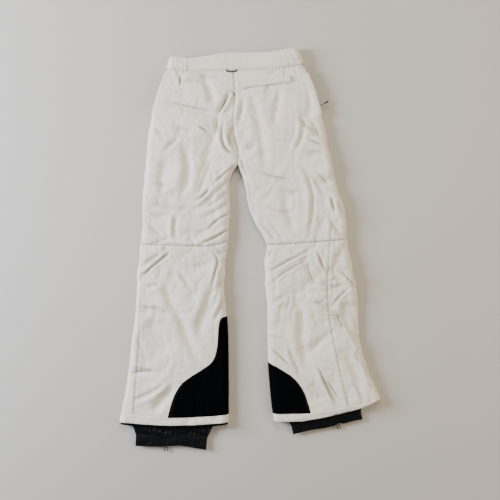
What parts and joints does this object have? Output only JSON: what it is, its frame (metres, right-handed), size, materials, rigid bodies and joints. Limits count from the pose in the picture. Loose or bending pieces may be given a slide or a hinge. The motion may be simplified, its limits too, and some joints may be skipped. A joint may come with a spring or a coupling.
{
  "type": "ski pants",
  "caption": "Insulated ski pants lying flat, front side down, with an elastic waistband, zipped pockets, kick patches and gaiters inside the hems.",
  "frame": {"origin": "on the floor side of the waist tab, at the garment's centre line, halfway up the waistband", "axes": "+Y up the body towards the waist, +Z away from the floor, out of the garment's back, +X towards the wearer's right leg"},
  "size_m": [0.7405, 1.1348, 0.0333],
  "materials": {
    "shell_cloth": "matt woven polyester with a light sheen, stone",
    "lining_cloth": "smooth taffeta, grey",
    "fill": "lofted fibre sheet, white",
    "kick_cloth": "heavy abrasion-resistant weave, black",
    "gaiter_cloth": "light coated plain weave, black",
    "elastic": "knitted elastic tape",
    "zip_tape": "woven tape with moulded teeth",
    "dark_metal": "dark nickel",
    "cord": "braided cord and webbing, black",
    "hook_and_loop": "hook-and-loop tape"
  },
  "bodies": {
    "root": {"back_shell_left": "shell_cloth", "front_shell_left": "shell_cloth", "waistband_side_left": "shell_cloth", "waistband_front_left": "shell_cloth", "back_fill_left": "fill", "front_fill_left": "fill", "lining_left": "lining_cloth", "hand_pocket_bag_left": "lining_cloth", "hand_pocket_zip_left": "zip_tape", "waist_elastic_left": "elastic", "back_shell_right": "shell_cloth", "front_shell_right": "shell_cloth", "waistband_side_right": "shell_cloth", "waistband_front_right": "shell_cloth", "back_fill_right": "fill", "front_fill_right": "fill", "lining_right": "lining_cloth", "hand_pocket_bag_right": "lining_cloth", "hand_pocket_zip_right": "zip_tape", "waist_elastic_right": "elastic", "waistband_back": "shell_cloth", "fly_underlap": "lining_cloth", "back_pocket_bag": "lining_cloth", "fly_zip_chain": "zip_tape", "snap_socket": "dark_metal", "back_pocket_loop_patch": "hook_and_loop"},
    "shin_left": {"shin_back_shell_left": "shell_cloth", "shin_front_shell_left": "shell_cloth", "shin_back_fill_left": "fill", "shin_front_fill_left": "fill", "shin_lining_left": "lining_cloth", "hem_band_left": "shell_cloth", "kick_patch_left": "kick_cloth", "hem_facing_left": "gaiter_cloth", "gaiter_skirt_left": "gaiter_cloth"},
    "gaiter_left": {"gaiter_cuff_left": "gaiter_cloth"},
    "lace_hook_left": {"lace_hook_left": "dark_metal"},
    "pocket_slider_left": {"hand_pocket_slider_left": "dark_metal"},
    "pocket_pull_left": {"hand_pocket_pull_left": "cord"},
    "shin_right": {"shin_back_shell_right": "shell_cloth", "shin_front_shell_right": "shell_cloth", "shin_back_fill_right": "fill", "shin_front_fill_right": "fill", "shin_lining_right": "lining_cloth", "hem_band_right": "shell_cloth", "kick_patch_right": "kick_cloth", "hem_facing_right": "gaiter_cloth", "gaiter_skirt_right": "gaiter_cloth"},
    "gaiter_right": {"gaiter_cuff_right": "gaiter_cloth"},
    "lace_hook_right": {"lace_hook_right": "dark_metal"},
    "pocket_slider_right": {"hand_pocket_slider_right": "dark_metal"},
    "pocket_pull_right": {"hand_pocket_pull_right": "cord"},
    "pocket_flap": {"back_pocket_flap": "shell_cloth", "back_pocket_hook_patch": "hook_and_loop"},
    "locker_loop": {"locker_loop": "cord"},
    "waist_tab": {"waist_tab": "shell_cloth", "snap_stud": "dark_metal"},
    "fly_slider": {"fly_slider": "dark_metal"},
    "fly_pull": {"fly_pull": "dark_metal"}
  },
  "joints": [
    {"name": "knee_fold_left", "type": "hinge", "parent": "root", "child": "shin_left", "pos_m": [-0.161, -0.598, 0.036], "axis": [-1, 0, 0], "range_deg": [0, 165]},
    {"name": "knee_fold_right", "type": "hinge", "parent": "root", "child": "shin_right", "pos_m": [0.201, -0.598, 0.036], "axis": [-1, 0, 0], "range_deg": [0, 165]},
    {"name": "gaiter_slide_left", "type": "slide", "parent": "shin_left", "child": "gaiter_left", "axis": [0.0523, 0.9986, 0], "range_m": [-0.03, 0.06]},
    {"name": "lace_hook_swing_left", "type": "hinge", "parent": "gaiter_left", "child": "lace_hook_left", "pos_m": [-0.20305, -1.07957, 0.008], "axis": [-0.9986, 0.0523, 0], "range_deg": [-20, 90]},
    {"name": "gaiter_slide_right", "type": "slide", "parent": "shin_right", "child": "gaiter_right", "axis": [-0.2079, 0.9781, 0], "range_m": [-0.03, 0.06]},
    {"name": "lace_hook_swing_right", "type": "hinge", "parent": "gaiter_right", "child": "lace_hook_right", "pos_m": [0.28262, -1.01803, 0.008], "axis": [-0.9781, -0.2079, 0], "range_deg": [-20, 90]},
    {"name": "pocket_zip_left", "type": "slide", "parent": "root", "child": "pocket_slider_left", "axis": [0.319, 0.9478, 0], "range_m": [-0.092, 0]},
    {"name": "pocket_pull_swing_left", "type": "hinge", "parent": "pocket_slider_left", "child": "pocket_pull_left", "pos_m": [-0.20706, -0.04124, 0.015], "axis": [0, 0, -1], "range_deg": [0, 145]},
    {"name": "pocket_zip_right", "type": "slide", "parent": "root", "child": "pocket_slider_right", "axis": [-0.319, 0.9478, 0], "range_m": [0, 0.092]},
    {"name": "pocket_pull_swing_right", "type": "hinge", "parent": "pocket_slider_right", "child": "pocket_pull_right", "pos_m": [0.22903, -0.12082, 0.015], "axis": [0, 0, 1], "range_deg": [-95, 50]},
    {"name": "pocket_flap_hinge", "type": "hinge", "parent": "root", "child": "pocket_flap", "pos_m": [0.075, -0.048, 0.0318], "axis": [-0.9903, -0.1392, 0], "range_deg": [0, 120]},
    {"name": "locker_loop_hinge", "type": "hinge", "parent": "root", "child": "locker_loop", "pos_m": [-0.018, -0.024, 0.0309], "axis": [-1, 0, 0], "range_deg": [0, 150]},
    {"name": "waist_tab_hinge", "type": "hinge", "parent": "root", "child": "waist_tab", "pos_m": [0.025, 0, 0], "axis": [0, -1, 0], "range_deg": [0, 150]},
    {"name": "fly_zip", "type": "slide", "parent": "root", "child": "fly_slider", "axis": [0, 1, 0], "range_m": [-0.113, 0]},
    {"name": "fly_pull_swing", "type": "hinge", "parent": "fly_slider", "child": "fly_pull", "pos_m": [0, -0.0428, 0.0008], "axis": [1, 0, 0], "range_deg": [0, 150]}
  ]
}
